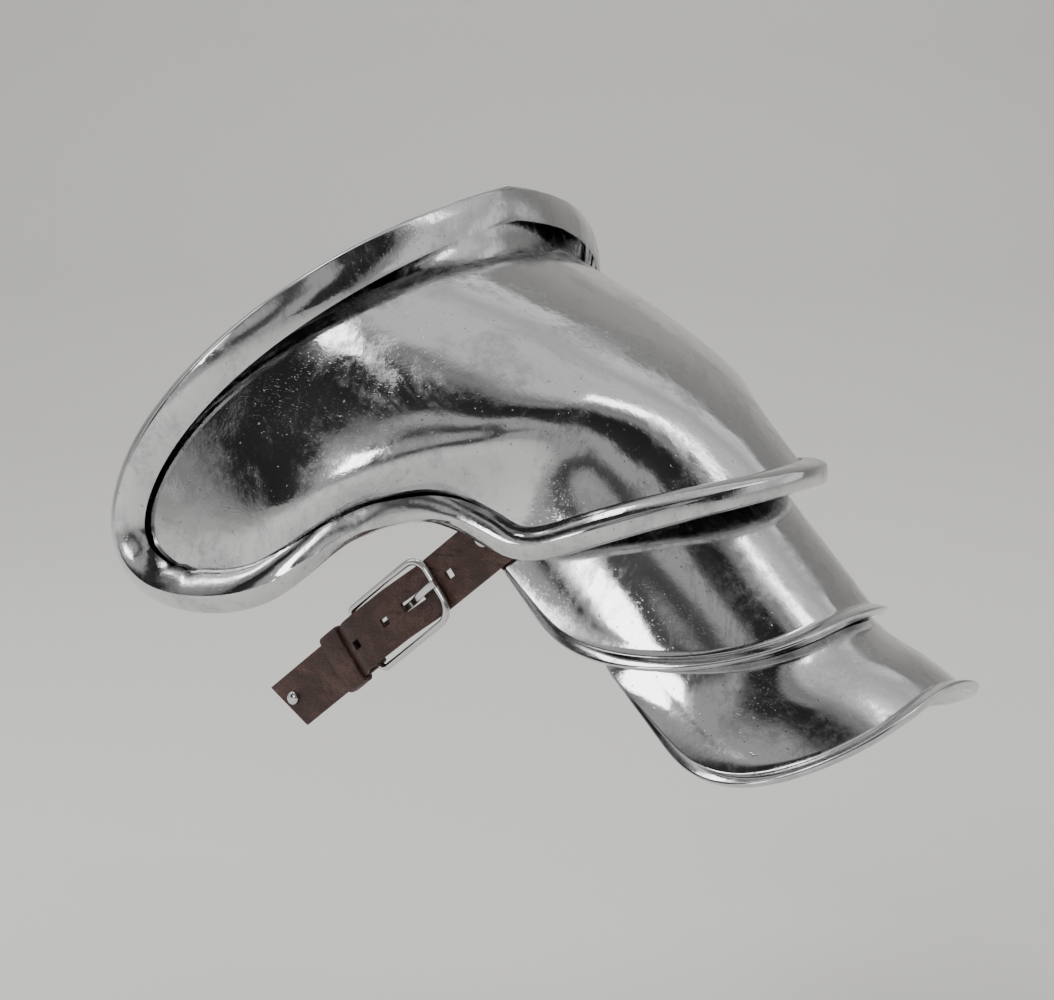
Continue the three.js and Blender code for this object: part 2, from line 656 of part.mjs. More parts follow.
function named(name, geometry, material) {
  const mesh = new THREE.Mesh(geometry, material);
  mesh.name = name;
  return mesh;
}

const group = new THREE.Group();
group.add(named("main_plate", makeMainPlate(), steel()));
group.add(named("upper_lame", makeUpperLame(), steel()));
group.add(named("lower_lame", makeLame(lowerSurface), steel()));
group.add(named("crown_leather", makeLeather(0), leather()));
group.add(named("front_leather", makeLeather(-0.5), leather()));
group.add(named("back_leather", makeLeather(0.5), leather()));

const strap = new THREE.Group();
strap.add(named("strap_billet", makeBillet(), leather()));
strap.add(named("strap_anchor", makeAnchor(), leather()));
strap.add(named("strap_keeper", makeKeeper(), leather()));
strap.add(named("buckle_frame", makeFrame(), steel()));
strap.add(named("buckle_prong", makeProng(), steel()));
const rivet = named("strap_rivet",
  makeRivet(rivetRadius, rivetShank, strapThickness + holeClearance, rivetFoot), steel());
rivet.position.copy(rivetSpot);
const stud = named("end_stud",
  makeRivet(studRadius, studShank, anchorHigh + holeClearance, anchorLow - holeClearance), steel());
stud.position.copy(studSpot);
strap.add(rivet, stud);
strap.applyMatrix4(strapFrame);
group.add(strap);

// The origin is where the shoulder bears, inside the cap under its ridge.
const seat = surfaceFrame(capSurface, seatShare, 0);
const bearing = seat.point.clone().addScaledVector(seat.out, -plateThickness);
group.children.forEach((child) => child.position.sub(bearing));

export default group;
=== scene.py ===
import math

import bmesh
import bpy
import numpy as np
from mathutils import Matrix, Vector


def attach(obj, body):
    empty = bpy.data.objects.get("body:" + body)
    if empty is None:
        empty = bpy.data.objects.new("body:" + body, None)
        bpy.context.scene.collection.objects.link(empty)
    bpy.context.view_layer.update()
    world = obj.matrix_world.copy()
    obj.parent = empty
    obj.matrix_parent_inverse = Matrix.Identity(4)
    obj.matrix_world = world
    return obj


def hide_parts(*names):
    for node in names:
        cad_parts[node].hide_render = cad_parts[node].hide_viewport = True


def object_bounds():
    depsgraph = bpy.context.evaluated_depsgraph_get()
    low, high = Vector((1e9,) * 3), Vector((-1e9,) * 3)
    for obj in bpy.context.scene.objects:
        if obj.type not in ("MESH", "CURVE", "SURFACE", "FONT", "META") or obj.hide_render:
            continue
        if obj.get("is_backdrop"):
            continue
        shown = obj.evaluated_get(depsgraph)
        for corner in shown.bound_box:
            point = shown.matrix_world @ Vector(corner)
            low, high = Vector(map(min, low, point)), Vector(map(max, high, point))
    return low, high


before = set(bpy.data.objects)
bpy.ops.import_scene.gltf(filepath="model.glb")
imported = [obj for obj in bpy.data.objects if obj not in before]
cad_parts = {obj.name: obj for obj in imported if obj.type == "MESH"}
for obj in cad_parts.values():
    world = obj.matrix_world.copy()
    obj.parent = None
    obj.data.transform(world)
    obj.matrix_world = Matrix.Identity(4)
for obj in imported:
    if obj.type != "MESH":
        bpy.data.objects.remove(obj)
cad_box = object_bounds()

# Camera: a long lens a little above the pauldron, looking at its front and its arm side from 1.08 m away.
look_at = Vector((-0.0475, -0.0178, -0.0768))
camera_turn, camera_rise = math.radians(35), math.radians(10)
camera_away = Vector((
    math.sin(camera_turn) * math.cos(camera_rise),
    -math.cos(camera_turn) * math.cos(camera_rise),
    math.sin(camera_rise),
))
camera_lens = bpy.data.cameras.new("camera")
camera_lens.sensor_width = 36
camera_lens.lens = 18 / math.tan(math.radians(12.5))
camera = bpy.data.objects.new("camera", camera_lens)
camera.location = look_at + 1.08 * camera_away
camera.rotation_euler = camera_away.to_track_quat("Z", "Y").to_euler()
bpy.context.collection.objects.link(camera)
bpy.context.scene.camera = camera

# Floor and studio: a pale floor that sweeps up behind, in a bright room with a dark ring round its front and a few
# soft boxes, so that the polished steel has both bright and dark things to show.
floor_level = -0.34
sweep_points = [(-4.0, 0.0), (1.2, 0.0), (1.6, 0.05), (1.9, 0.2), (2.05, 0.5), (2.1, 3.0)]
sweep_mesh = bpy.data.meshes.new("floor_sweep")
sweep_corners = [(side, y, floor_level + z) for y, z in sweep_points for side in (-5.0, 5.0)]
sweep_mesh.from_pydata(sweep_corners, [], [(2 * i, 2 * i + 1, 2 * i + 3, 2 * i + 2) for i in range(5)])
sweep_mesh.polygons.foreach_set("use_smooth", [True] * 5)
floor_sweep = bpy.data.objects.new("floor_sweep", sweep_mesh)
bpy.context.collection.objects.link(floor_sweep)
floor_sweep.rotation_euler = (0, 0, camera_turn)
pale_floor = bpy.data.materials.new("pale_floor")
pale_floor.use_nodes = True
floor_shader = pale_floor.node_tree.nodes["Principled BSDF"]
floor_shader.inputs["Base Color"].default_value = (0.78, 0.77, 0.75, 1)
floor_shader.inputs["Roughness"].default_value = 0.85
floor_sweep.data.materials.append(pale_floor)
floor_sweep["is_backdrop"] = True


def soft_box(name, turn, rise, distance, width, height, power, in_steel=True):
    """A lamp turned and raised round the pauldron; without in_steel it lights only the floor and the hides."""
    lamp = bpy.data.lights.new(name, "AREA")
    lamp.shape = "RECTANGLE"
    lamp.size, lamp.size_y = width, height
    lamp.energy = power
    box = bpy.data.objects.new(name, lamp)
    turn, rise = math.radians(turn), math.radians(rise)
    away = Vector((math.sin(turn) * math.cos(rise), -math.cos(turn) * math.cos(rise), math.sin(rise)))
    box.location = look_at + distance * away
    box.rotation_euler = away.to_track_quat("Z", "Y").to_euler()
    box.visible_glossy = in_steel
    bpy.context.collection.objects.link(box)


soft_box("key_box", -35, 52, 2.0, 1.1, 1.1, 20, in_steel=False)
soft_box("back_box", 190, 40, 2.2, 1.2, 0.7, 12, in_steel=False)
soft_box("lame_box", 3, 15, 2.0, 0.42, 0.62, 6.0)
soft_box("crown_box", -68, 72, 1.9, 1.0, 0.3, 5.0)
soft_box("left_box", -60, 40, 2.0, 0.3, 0.9, 4.0)
soft_box("arm_strip", 118, 52, 1.9, 0.2, 1.0, 3.0)

room = bpy.data.worlds.new("room")
bpy.context.scene.world = room
room.use_nodes = True
room_nodes, room_links = room.node_tree.nodes, room.node_tree.links
room_front = (0.427, -0.838, 0.342)
ring_waviness = 0.30
widest_turn = 188
room_place = room_nodes.new("ShaderNodeTexCoord")
room_wave = room_nodes.new("ShaderNodeTexNoise")
room_wave.inputs["Scale"].default_value = 2.6
room_wave.inputs["Detail"].default_value = 1.5
room_links.new(room_place.outputs["Generated"], room_wave.inputs["Vector"])
room_facing = room_nodes.new("ShaderNodeVectorMath")
room_facing.operation = "DOT_PRODUCT"
room_facing.inputs[1].default_value = room_front
room_links.new(room_place.outputs["Generated"], room_facing.inputs[0])
room_angle = room_nodes.new("ShaderNodeMath")
room_angle.operation = "ARCCOSINE"
room_links.new(room_facing.outputs["Value"], room_angle.inputs[0])
room_bend = room_nodes.new("ShaderNodeMath")
room_bend.operation = "MULTIPLY_ADD"
room_bend.inputs[1].default_value = ring_waviness
room_links.new(room_wave.outputs["Fac"], room_bend.inputs[0])
room_links.new(room_angle.outputs[0], room_bend.inputs[2])
room_reach = room_nodes.new("ShaderNodeMapRange")
room_reach.inputs["From Max"].default_value = math.radians(widest_turn)
room_links.new(room_bend.outputs[0], room_reach.inputs["Value"])
room_bands = room_nodes.new("ShaderNodeValToRGB")
# degrees away from the middle of the room's front, and the tone there: grey, a dark ring, bright walls and ceiling
room_tones = [
    (8, 0.50), (19, 0.38), (24, 0.07), (30, 0.11), (36, 0.44), (45, 0.46), (50, 0.04), (66, 0.02), (71, 0.34),
    (75, 0.24), (80, 0.80), (98, 0.84), (105, 0.60), (113, 1.0), (widest_turn, 0.6),
]
for turn, tone in room_tones[1:-1]:
    room_bands.color_ramp.elements.new(turn / widest_turn)
for stop, (turn, tone) in zip(room_bands.color_ramp.elements, room_tones):
    stop.position = turn / widest_turn
    stop.color = (tone, tone, tone, 1)
room_links.new(room_reach.outputs["Result"], room_bands.inputs["Fac"])
room_links.new(room_bands.outputs["Color"], room_nodes["Background"].inputs["Color"])
room_nodes["Background"].inputs["Strength"].default_value = 1.0


# Main plate: one sheet of steel raised into a cap with a wing in front and one behind, its whole edge folded out and
# back over itself as a wide rounded border. Sizes are in millimetres; the ridge falls from the neck to the arm.
plate_thickness = 1.4
ridge_run, ridge_fall = 142, 97
wing_back, wing_drop, wing_half_width = 127, 143, 146
arm_radius = 84
roll_stand = 12
roll_crown, roll_hollow = 1.3, 0.35
low_bend, outer_bend = 1.5, 1.4
neck_crown = np.array((1.0, 0.0, -20.0))
seat_share = 0.4
beside_ridge = 1e-9

# crown x, crown z, foot x, foot z, width, roundness along x, roundness along z, from the neck to the arm
cap_sections = [
    (0.00, 0.02, -1.00, 0.955, 1.00, 0.84, 0.54),
    (0.24, 0.19, -0.64, 1.00, 1.00, 0.87, 0.58),
    (0.44, 0.35, -0.31, 0.955, 0.92, 0.90, 0.66),
    (0.62, 0.515, -0.03, 0.755, 0.60, 0.93, 0.76),
    (0.80, 0.725, 0.21, 0.77, 0.16, 1.05, 0.72),
    (1.00, 1.00, 0.50, 1.16, 0.00, 1.20, 0.35),
]
# low crease along and out, outer crease along and out, cover, lift, from the neck round the wing to the arm
roll_stations = [
    (1.90, 1.80, 1.65, 2.00, -0.80, 1.00),
    (1.30, 1.00, 0.95, 1.45, 0.15, 0.50),
    (0.75, 0.45, 0.10, 1.00, 0.80, 0.27),
    (0.70, 0.30, -0.05, 0.85, 0.85, 0.15),
    (0.38, 0.25, -0.22, 0.70, 0.85, 0.15),
    (0.25, 0.30, -0.22, 0.80, 0.95, 0.15),
]


def table_curves(rows, share):
    """All columns of a table at shares from 0 to 1 of its evenly spaced rows, each on a smooth curve."""
    rows = np.asarray(rows, float)
    padded = np.vstack([2 * rows[0] - rows[1], rows, 2 * rows[-1] - rows[-2]])
    place = np.clip(share, 0, 1) * (len(rows) - 1)
    i = np.minimum(place.astype(int), len(rows) - 2)
    t = (place - i)[..., None]
    a, b, c, d = (padded[i + k] for k in range(4))
    return b + 0.5 * t * (c - a + t * (2 * a - 5 * b + 4 * c - d + t * (3 * (b - c) + d - a)))


def cap_point(u, angle):
    curves = np.moveaxis(table_curves(cap_sections, u), -1, 0)
    crown_x, crown_z, foot_x, foot_z, width, round_x, round_z = curves
    level = np.maximum(np.cos(angle), 0)
    fall_x, fall_z = 1 - level ** round_x, 1 - level ** round_z
    crown_x, crown_z = crown_x * ridge_run, -crown_z * ridge_fall
    foot_x, foot_z = foot_x * wing_back, -foot_z * wing_drop
    half = arm_radius + width * (wing_half_width - arm_radius)
    x = crown_x + (foot_x - crown_x) * fall_x
    z = crown_z + (foot_z - crown_z) * fall_z
    return np.stack([x, half * np.sin(angle), z], -1) + neck_crown


def cap_surface(u, v):
    """Outer face of the cap, v in even lengths along each section from the crown to the foot."""
    steps = 40
    angle_at = lambda share: 0.5 * math.pi * (1 - (1 - share) ** 3)
    angles = np.broadcast_to(angle_at(np.arange(steps + 1) / steps), (len(u), steps + 1))
    line = cap_point(np.repeat(u[:, None], steps + 1, 1), angles)
    lengths = np.zeros((len(u), steps + 1))
    lengths[:, 1:] = np.cumsum(np.linalg.norm(np.diff(line, axis=1), axis=2), axis=1)
    wanted = np.minimum(np.abs(v), 1) * lengths[:, -1]
    i = np.minimum((lengths[:, 1:] < wanted[:, None]).sum(1), steps - 1)
    row = np.arange(len(u))
    share = (i + (wanted - lengths[row, i]) / (lengths[row, i + 1] - lengths[row, i])) / steps
    point = cap_point(u, angle_at(share))
    point[:, 1] *= np.sign(v)
    return point


def surface_frame(surface, u, v):
    """Points of a plate, its two directions and its outward normals."""
    step = 1e-3
    u_low, u_high = np.maximum(u - step, 0), np.minimum(u + step, 1)
    v_low, v_high = np.maximum(v - step, -1), np.minimum(v + step, 1)
    along_u = (surface(u_high, v) - surface(u_low, v)) / (u_high - u_low)[:, None]
    along_v = (surface(u, v_high) - surface(u, v_low)) / (v_high - v_low)[:, None]
    out = np.cross(along_u, along_v)
    out /= np.linalg.norm(out, axis=1)[:, None]
    return surface(u, v), along_u, along_v, out


def edge_loop(surface, square_start, square_end, steps):
    """The rounded edge of a plate, evenly stepped, from the middle of its top side round by the front."""
    fine = 1440
    angle = np.linspace(0, 2 * math.pi, fine + 1)
    c, s = np.cos(angle), np.sin(angle)
    power = 2 / np.where(c > 0, square_start, square_end)
    u = 0.5 - 0.5 * np.sign(c) * np.abs(c) ** power
    v = -np.sign(s) * np.abs(s) ** power
    dense = surface(u, v)
    lengths = np.concatenate([[0], np.cumsum(np.linalg.norm(np.diff(dense, axis=0), axis=1))])
    around = np.arange(steps) / steps
    u = np.interp(around * lengths[-1], lengths, u)
    v = np.interp(around * lengths[-1], lengths, v)
    point, along_u, along_v, out = surface_frame(surface, u, v)
    run = np.roll(point, -1, 0) - np.roll(point, 1, 0)
    away = np.cross(out, run)
    away /= np.linalg.norm(away, axis=1)[:, None]
    inside = surface(0.5 + 0.9 * (u - 0.5), 0.9 * v)
    away *= np.where(np.einsum("ij,ij->i", away, point - inside) < 0, -1, 1)[:, None]
    return dict(u=u, v=v, around=around, point=point, along_u=along_u, along_v=along_v, out=out, away=away)


def off_edge(surface, edge, along, out):
    """Places near the edge: along runs off the plate or, where negative, back over it; out stands off it."""
    dot = lambda a, b: np.einsum("ij,ij->i", a, b)
    target = edge["away"] * along[:, None]
    uu, uv, vv = (dot(edge["along_u"], edge["along_u"]), dot(edge["along_u"], edge["along_v"]),
                  dot(edge["along_v"], edge["along_v"]))
    tu, tv = dot(target, edge["along_u"]), dot(target, edge["along_v"])
    spread = uu * vv - uv * uv
    back = along < 0
    u = np.where(back, np.clip(edge["u"] + (tu * vv - tv * uv) / spread, 0, 1), edge["u"])
    v = np.where(back, np.clip(edge["v"] + (tv * uu - tu * uv) / spread, -1, 1), edge["v"])
    base, _, _, normal = surface_frame(surface, u, v)
    beyond = np.where(back, 0, along)[:, None]
    return base + edge["away"] * beyond + np.where(back[:, None], normal, edge["out"]) * out[:, None]


def face_rings(surface, edge, shares, depth):
    rings = []
    for share in shares:
        point, _, _, out = surface_frame(surface, 0.5 + share * (edge["u"] - 0.5), share * edge["v"])
        rings.append(point - depth * out)
    return rings


def seat_point():
    point, _, _, out = surface_frame(cap_surface, np.array([seat_share]), np.array([beside_ridge]))
    return (point - plate_thickness * out)[0] * (1, 0, 1)


bearing = seat_point()


def new_piece(name, vertices, faces, sharp=40.0, placed=True):
    """A mesh object from millimetre points, smooth except over edges sharper than the angle."""
    mesh = bpy.data.meshes.new(name)
    points = (np.asarray(vertices, float) - (bearing if placed else 0)) * 0.001
    mesh.from_pydata(points.tolist(), [], [list(map(int, face)) for face in faces])
    mesh.polygons.foreach_set("use_smooth", [True] * len(mesh.polygons))
    mesh.set_sharp_from_angle(angle=math.radians(sharp))
    mesh.update()
    piece = bpy.data.objects.new(name, mesh)
    bpy.context.collection.objects.link(piece)
    return piece


def skin(name, first, rings, last, sharp=40.0):
    """A closed skin from a first point through rings of points to a last one."""
    steps = len(rings[0])
    vertices = np.vstack([first[None], *rings, last[None]])
    faces = []
    for k in range(steps):
        j = (k + 1) % steps
        faces.append((0, 1 + k, 1 + j))
        for ring in range(len(rings) - 1):
            low, high = 1 + ring * steps, 1 + (ring + 1) * steps
            faces.append((low + k, high + k, high + j, low + j))
        end = 1 + (len(rings) - 1) * steps
        faces.append((end + k, len(vertices) - 1, end + j))
    return new_piece(name, vertices, faces, sharp)


def roll_outlines(around):
    """The border's outline at each step of the edge, as (steps, points, 2): under the plate, out and back over it."""
    curves = roll_stand * table_curves(roll_stations, 1 - np.abs(1 - 2 * around))
    low, crease, free = curves[:, 0:2], curves[:, 2:4], curves[:, 4:6] * (-1, 1)
    start = np.tile((0.0, -plate_thickness), (len(around), 1))
    elbow = np.stack([0.6 * low[:, 0], start[:, 1]], 1)
    bend = lambda a, b, c, t: (1 - t) ** 2 * a + 2 * t * (1 - t) * b + t * t * c
    near = lambda a, b, gap: a + (b - a) * gap / np.linalg.norm(b - a, axis=1)[:, None]
    bend_end = bend(start, elbow, low, 0.8)
    points = [bend(start, elbow, low, t) for t in (0, 0.16, 0.32, 0.48, 0.64)]
    corner = lambda before, middle, after, gap: [
        bend(near(middle, before, gap), middle, near(middle, after, gap), t) for t in (0, 0.25, 0.5, 0.75, 1)]
    points += corner(bend_end, low, crease, low_bend)
    across = (crease - low) @ np.array(((0, 1), (-1, 0)))
    across /= np.linalg.norm(across, axis=1)[:, None]
    points += [low + (crease - low) * t - roll_hollow * across * math.sin(math.pi * t) for t in (0.3, 0.5, 0.7)]
    over = (free - crease) @ np.array(((0, -1), (1, 0)))
    over /= np.linalg.norm(over, axis=1)[:, None]
    crowned = lambda t: crease + (free - crease) * t + 4 * t * (1 - t) * roll_crown * over
    points += corner(low, crease, crowned(0.3), outer_bend)
    points += [crowned(t) for t in (0.25, 0.36, 0.48, 0.6, 0.72, 0.84, 0.93)]
    points.append(free)
    return np.stack(points, 1)


def sheet_side(outlines, thickness):
    """The other side of a bent sheet, a thickness to the left of its outlines."""
    run = np.diff(outlines, axis=1)
    run /= np.linalg.norm(run, axis=2)[..., None]
    turn = np.stack([-run[..., 1], run[..., 0]], -1)
    middle = np.concatenate([2 * turn[:, :1], turn[:, :-1] + turn[:, 1:], 2 * turn[:, -1:]], 1)
    return outlines + middle * (2 * thickness / (middle ** 2).sum(-1))[..., None]


border_steps = 264
plate_edge = edge_loop(cap_surface, square_start=7, square_end=3.8, steps=border_steps)
plate_shares = [0.02, 0.05, 0.09, *np.linspace(0.14, 0.97, 30)]
right_side = roll_outlines(plate_edge["around"])
left_side = sheet_side(right_side, plate_thickness)
outline_count = right_side.shape[1]
border_ring = lambda side, i: off_edge(cap_surface, plate_edge, side[:, i, 0], side[:, i, 1])
plate_rings = face_rings(cap_surface, plate_edge, plate_shares, 0)
plate_rings.append(plate_edge["point"])
plate_rings += [border_ring(left_side, i) for i in range(1, outline_count)]
plate_rings += [border_ring(right_side, i) for i in range(outline_count - 1, 0, -1)]
plate_rings.append(plate_edge["point"] - plate_thickness * plate_edge["out"])
plate_rings += face_rings(cap_surface, plate_edge, plate_shares[::-1][::2], plate_thickness)
middle, _, _, middle_out = surface_frame(cap_surface, np.array([0.5]), np.array([beside_ridge]))
middle[0, 1] = 0
main_plate = skin("cap_plate", middle[0], plate_rings, (middle - plate_thickness * middle_out)[0], 50)


def noise(nodes, links, place, scale, detail=4.0, rough=0.55, stretch=None, warp=0.0):
    """A noise texture's factor in the piece's own space."""
    texture = nodes.new("ShaderNodeTexNoise")
    texture.inputs["Scale"].default_value = scale
    texture.inputs["Detail"].default_value = detail
    texture.inputs["Roughness"].default_value = rough
    texture.inputs["Distortion"].default_value = warp
    if stretch:
        turned = nodes.new("ShaderNodeMapping")
        turned.inputs["Rotation"].default_value = stretch[0]
        turned.inputs["Scale"].default_value = stretch[1]
        links.new(place, turned.inputs["Vector"])
        place = turned.outputs["Vector"]
    links.new(place, texture.inputs["Vector"])
    return texture.outputs["Fac"]


def ranged(nodes, links, value, low, high, to_low=0.0, to_high=1.0):
    """A value stretched from one range to another, held at its ends."""
    node = nodes.new("ShaderNodeMapRange")
    for name, number in (("From Min", low), ("From Max", high), ("To Min", to_low), ("To Max", to_high)):
        node.inputs[name].default_value = number
    links.new(value, node.inputs["Value"])
    return node.outputs["Result"]


def maths(nodes, links, kind, first, second):
    node = nodes.new("ShaderNodeMath")
    node.operation = kind
    for socket, value in zip(node.inputs, (first, second)):
        if isinstance(value, (int, float)):
            socket.default_value = value
        else:
            links.new(value, socket)
    return node.outputs[0]


def mixed(nodes, links, mask, first, second):
    node = nodes.new("ShaderNodeMix")
    node.data_type = "RGBA"
    links.new(mask, node.inputs["Factor"])
    for socket, value in ((node.inputs[6], first), (node.inputs[7], second)):
        if isinstance(value, tuple):
            socket.default_value = value
        else:
            links.new(value, socket)
    return node.outputs[2]


def make_worn_steel():
    """Wear of polished steel: ragged smudges, fine scratches, small pits and the hammered sheet's slight waves."""
    group = bpy.data.node_groups.new("worn_steel", "ShaderNodeTree")
    face = group.interface
    for name, value in (("Smudge", 1.0), ("Scratch", 1.0)):
        face.new_socket(name, in_out="INPUT", socket_type="NodeSocketFloat").default_value = value
    for name, kind in (("Color", "NodeSocketColor"), ("Roughness", "NodeSocketFloat"), ("Height", "NodeSocketFloat")):
        face.new_socket(name, in_out="OUTPUT", socket_type=kind)
    nodes, links = group.nodes, group.links
    given, result = nodes.new("NodeGroupInput"), nodes.new("NodeGroupOutput")
    place = nodes.new("ShaderNodeTexCoord").outputs["Object"]
    cloud = noise(nodes, links, place, 24, 9, 0.78, ((0.0, 0.5, 0.3), (1.0, 1.0, 0.6)), 0.5)
    fleck = noise(nodes, links, place, 300, 4, 0.75)
    blotch = ranged(nodes, links, cloud, 0.47, 0.56)
    ragged = maths(nodes, links, "MULTIPLY", blotch, ranged(nodes, links, fleck, 0.40, 0.58, 0.45, 1.0))
    smudge = maths(nodes, links, "MULTIPLY", ragged, given.outputs["Smudge"])
    down_lines = noise(nodes, links, place, 60, 2, 0.5, ((0.3, 0.5, 0.9), (1, 22, 22)))
    cross_lines = noise(nodes, links, place, 50, 2, 0.5, ((1.1, 0.2, -0.6), (26, 1, 26)))
    scratches = maths(nodes, links, "MAXIMUM", ranged(nodes, links, down_lines, 0.66, 0.72),
                      ranged(nodes, links, cross_lines, 0.67, 0.73))
    rubbed = ranged(nodes, links, noise(nodes, links, place, 14, 3), 0.5, 0.62)
    scratches = maths(nodes, links, "MULTIPLY", scratches, rubbed)
    scratches = maths(nodes, links, "MULTIPLY", scratches, given.outputs["Scratch"])
    pits = ranged(nodes, links, noise(nodes, links, place, 620, 1, 0.4), 0.73, 0.78)
    tone = mixed(nodes, links, smudge, (0.66, 0.66, 0.665, 1), (0.50, 0.50, 0.51, 1))
    tone = mixed(nodes, links, pits, tone, (0.34, 0.33, 0.33, 1))
    tone = mixed(nodes, links, scratches, tone, (0.72, 0.72, 0.73, 1))
    links.new(tone, result.inputs["Color"])
    rough = maths(nodes, links, "ADD", maths(nodes, links, "MULTIPLY", smudge, 0.20), 0.09)
    rough = maths(nodes, links, "ADD", rough, maths(nodes, links, "MULTIPLY", scratches, 0.16))
    links.new(rough, result.inputs["Roughness"])
    waves = noise(nodes, links, place, 15, 2, 0.5)
    ripples = maths(nodes, links, "MULTIPLY", noise(nodes, links, place, 80, 4, 0.6), 0.07)
    dents = maths(nodes, links, "ADD", waves, ripples)
    dents = maths(nodes, links, "SUBTRACT", dents, maths(nodes, links, "MULTIPLY", pits, 0.02))
    links.new(maths(nodes, links, "SUBTRACT", dents, maths(nodes, links, "MULTIPLY", scratches, 0.01)),
              result.inputs["Height"])
    return group


worn_steel = make_worn_steel()


def steel_finish(name, smudge, scratch, relief=0.002):
    finish = bpy.data.materials.new(name)
    finish.use_nodes = True
    nodes, links = finish.node_tree.nodes, finish.node_tree.links
    shader = nodes["Principled BSDF"]
    shader.inputs["Metallic"].default_value = 1
    wear = nodes.new("ShaderNodeGroup")
    wear.node_tree = worn_steel
    wear.inputs["Smudge"].default_value = smudge
    wear.inputs["Scratch"].default_value = scratch
    bump = nodes.new("ShaderNodeBump")
    bump.inputs["Distance"].default_value = relief
    bump.inputs["Strength"].default_value = 1
    links.new(wear.outputs["Height"], bump.inputs["Height"])
    links.new(bump.outputs["Normal"], shader.inputs["Normal"])
    links.new(wear.outputs["Color"], shader.inputs["Base Color"])
    links.new(wear.outputs["Roughness"], shader.inputs["Roughness"])
    return finish


plate_steel = steel_finish("plate_steel", smudge=1.0, scratch=1.0)
main_plate.data.materials.append(plate_steel)
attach(main_plate, "root")
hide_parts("main_plate")


# Lames: two arm plates of thinner steel, each a half tube with a narrow lip turned out along its lower edge, and each
# tucked under the plate above it. Their ends rise over the crown, and the lower one flares out over the elbow.
lame_thickness, plate_clearance = 1.2, 0.4
strap_thickness, strap_rise = 2.0, 1.4
arm_angle = math.radians(45)
arm_along = np.array((math.cos(arm_angle), 0, -math.sin(arm_angle)))
arm_out = np.array((math.sin(arm_angle), 0, math.cos(arm_angle)))
arm_edge_crown = cap_point(np.array([1.0]), np.array([0.0]))[0]
lame_radius = arm_radius - plate_thickness - strap_thickness - strap_rise
lower_radius = lame_radius - lame_thickness - plate_clearance
lame_drop, lip_stand, crown_reach = 10.5, 5, 0.32
lower_flare = 12
flare = lower_flare / lower_radius
lame_steps = 220

# centre, rise and half width, in shares of the lame's radius, from its top to its end
upper_sections = [(0.00, 1.02, 1.00), (0.00, 0.995, 1.00)]
lower_sections = [
    (0.02, 0.93, 0.985),
    (0.03, 0.95, 0.985),
    (0.06, 0.95 + 0.48 * flare, 0.99 + 0.25 * flare),
    (0.09, 0.95 + 0.75 * flare, 0.99 + 0.55 * flare),
]


def lame_surface(sections, radius, span, top, top_sweep, end, end_sweep, crown_rise):
    def surface(u, v):
        centre, rise, half = radius * np.moveaxis(table_curves(sections, u), -1, 0)
        angle = v * math.radians(span)
        head = top - top_sweep * v * v
        foot = end - end_sweep * v * v - crown_rise * np.exp(-(v / crown_reach) ** 2)
        out = centre - lame_drop + rise * np.cos(angle) - arm_radius
        along = head + u * (foot - head)
        point = arm_edge_crown + along[:, None] * arm_along + out[:, None] * arm_out
        point[:, 1] = half * np.sin(angle)
        return point
    return surface


lip_heights = [[0.12], [0.12], [0.14], [0.75], [0.85], [1.0]]
lip_outline = [
    (-1.1, 0), (-0.95, 0.1), (-0.8, 0.28), (-0.6, 0.5), (-0.35, 0.7), (-0.1, 0.9), (0.02, 0.985),
    (0.12, 1.01), (0.22, 0.97), (0.3, 0.84), (0.38, 0.55), (0.42, 0.3), (0.35, 0.08), (0.2, -0.06),
]


def make_lame(name, surface):
    edge = edge_loop(surface, square_start=12, square_end=3, steps=lame_steps)
    stand = lip_stand * table_curves(lip_heights, 1 - np.abs(1 - 2 * edge["around"]))[:, 0]
    shares = [0.03, *np.linspace(0.08, 0.86, 20)]
    rings = face_rings(surface, edge, shares, 0)
    rings += [off_edge(surface, edge, along * stand, out * stand) for along, out in lip_outline]
    rings.append(edge["point"] - lame_thickness * edge["out"])
    rings += face_rings(surface, edge, shares[::-1], lame_thickness)
    top, _, _, out = surface_frame(surface, np.array([0.5]), np.array([0.0]))
    return skin(name, top[0], rings, (top - lame_thickness * out)[0], 38)


upper_surface = lame_surface(
    upper_sections, lame_radius, span=88, top=-28.5, top_sweep=40, end=63.5, end_sweep=42, crown_rise=5)
lower_surface = lame_surface(
    lower_sections, lower_radius, span=82, top=45.5, top_sweep=38, end=113, end_sweep=12, crown_rise=6)
lame_steel = steel_finish("lame_steel", smudge=0.9, scratch=1.2, relief=0.0012)
upper_plate = make_lame("upper_plate", upper_surface)
lower_plate = make_lame("lower_plate", lower_surface)
for plate, node in ((upper_plate, "upper_lame"), (lower_plate, "lower_lame")):
    plate.data.materials.append(lame_steel)
    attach(plate, "root")
    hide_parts(node)


# Leathers inside: three plain strips of thick hide under the ridge and to its front and back, from which the lames
# hang, seen only from below and from the neck.
leather_thickness, leather_width, leather_clearance = 2.0, 20.0, 1.2
leather_stops = [
    (cap_surface, plate_thickness, (0.66, 0.70)),
    (upper_surface, lame_thickness, (-0.08, 0.1, 0.3, 0.5, 0.7)),
    (lower_surface, lame_thickness, (-0.08, 0.1, 0.25, 0.42)),
]


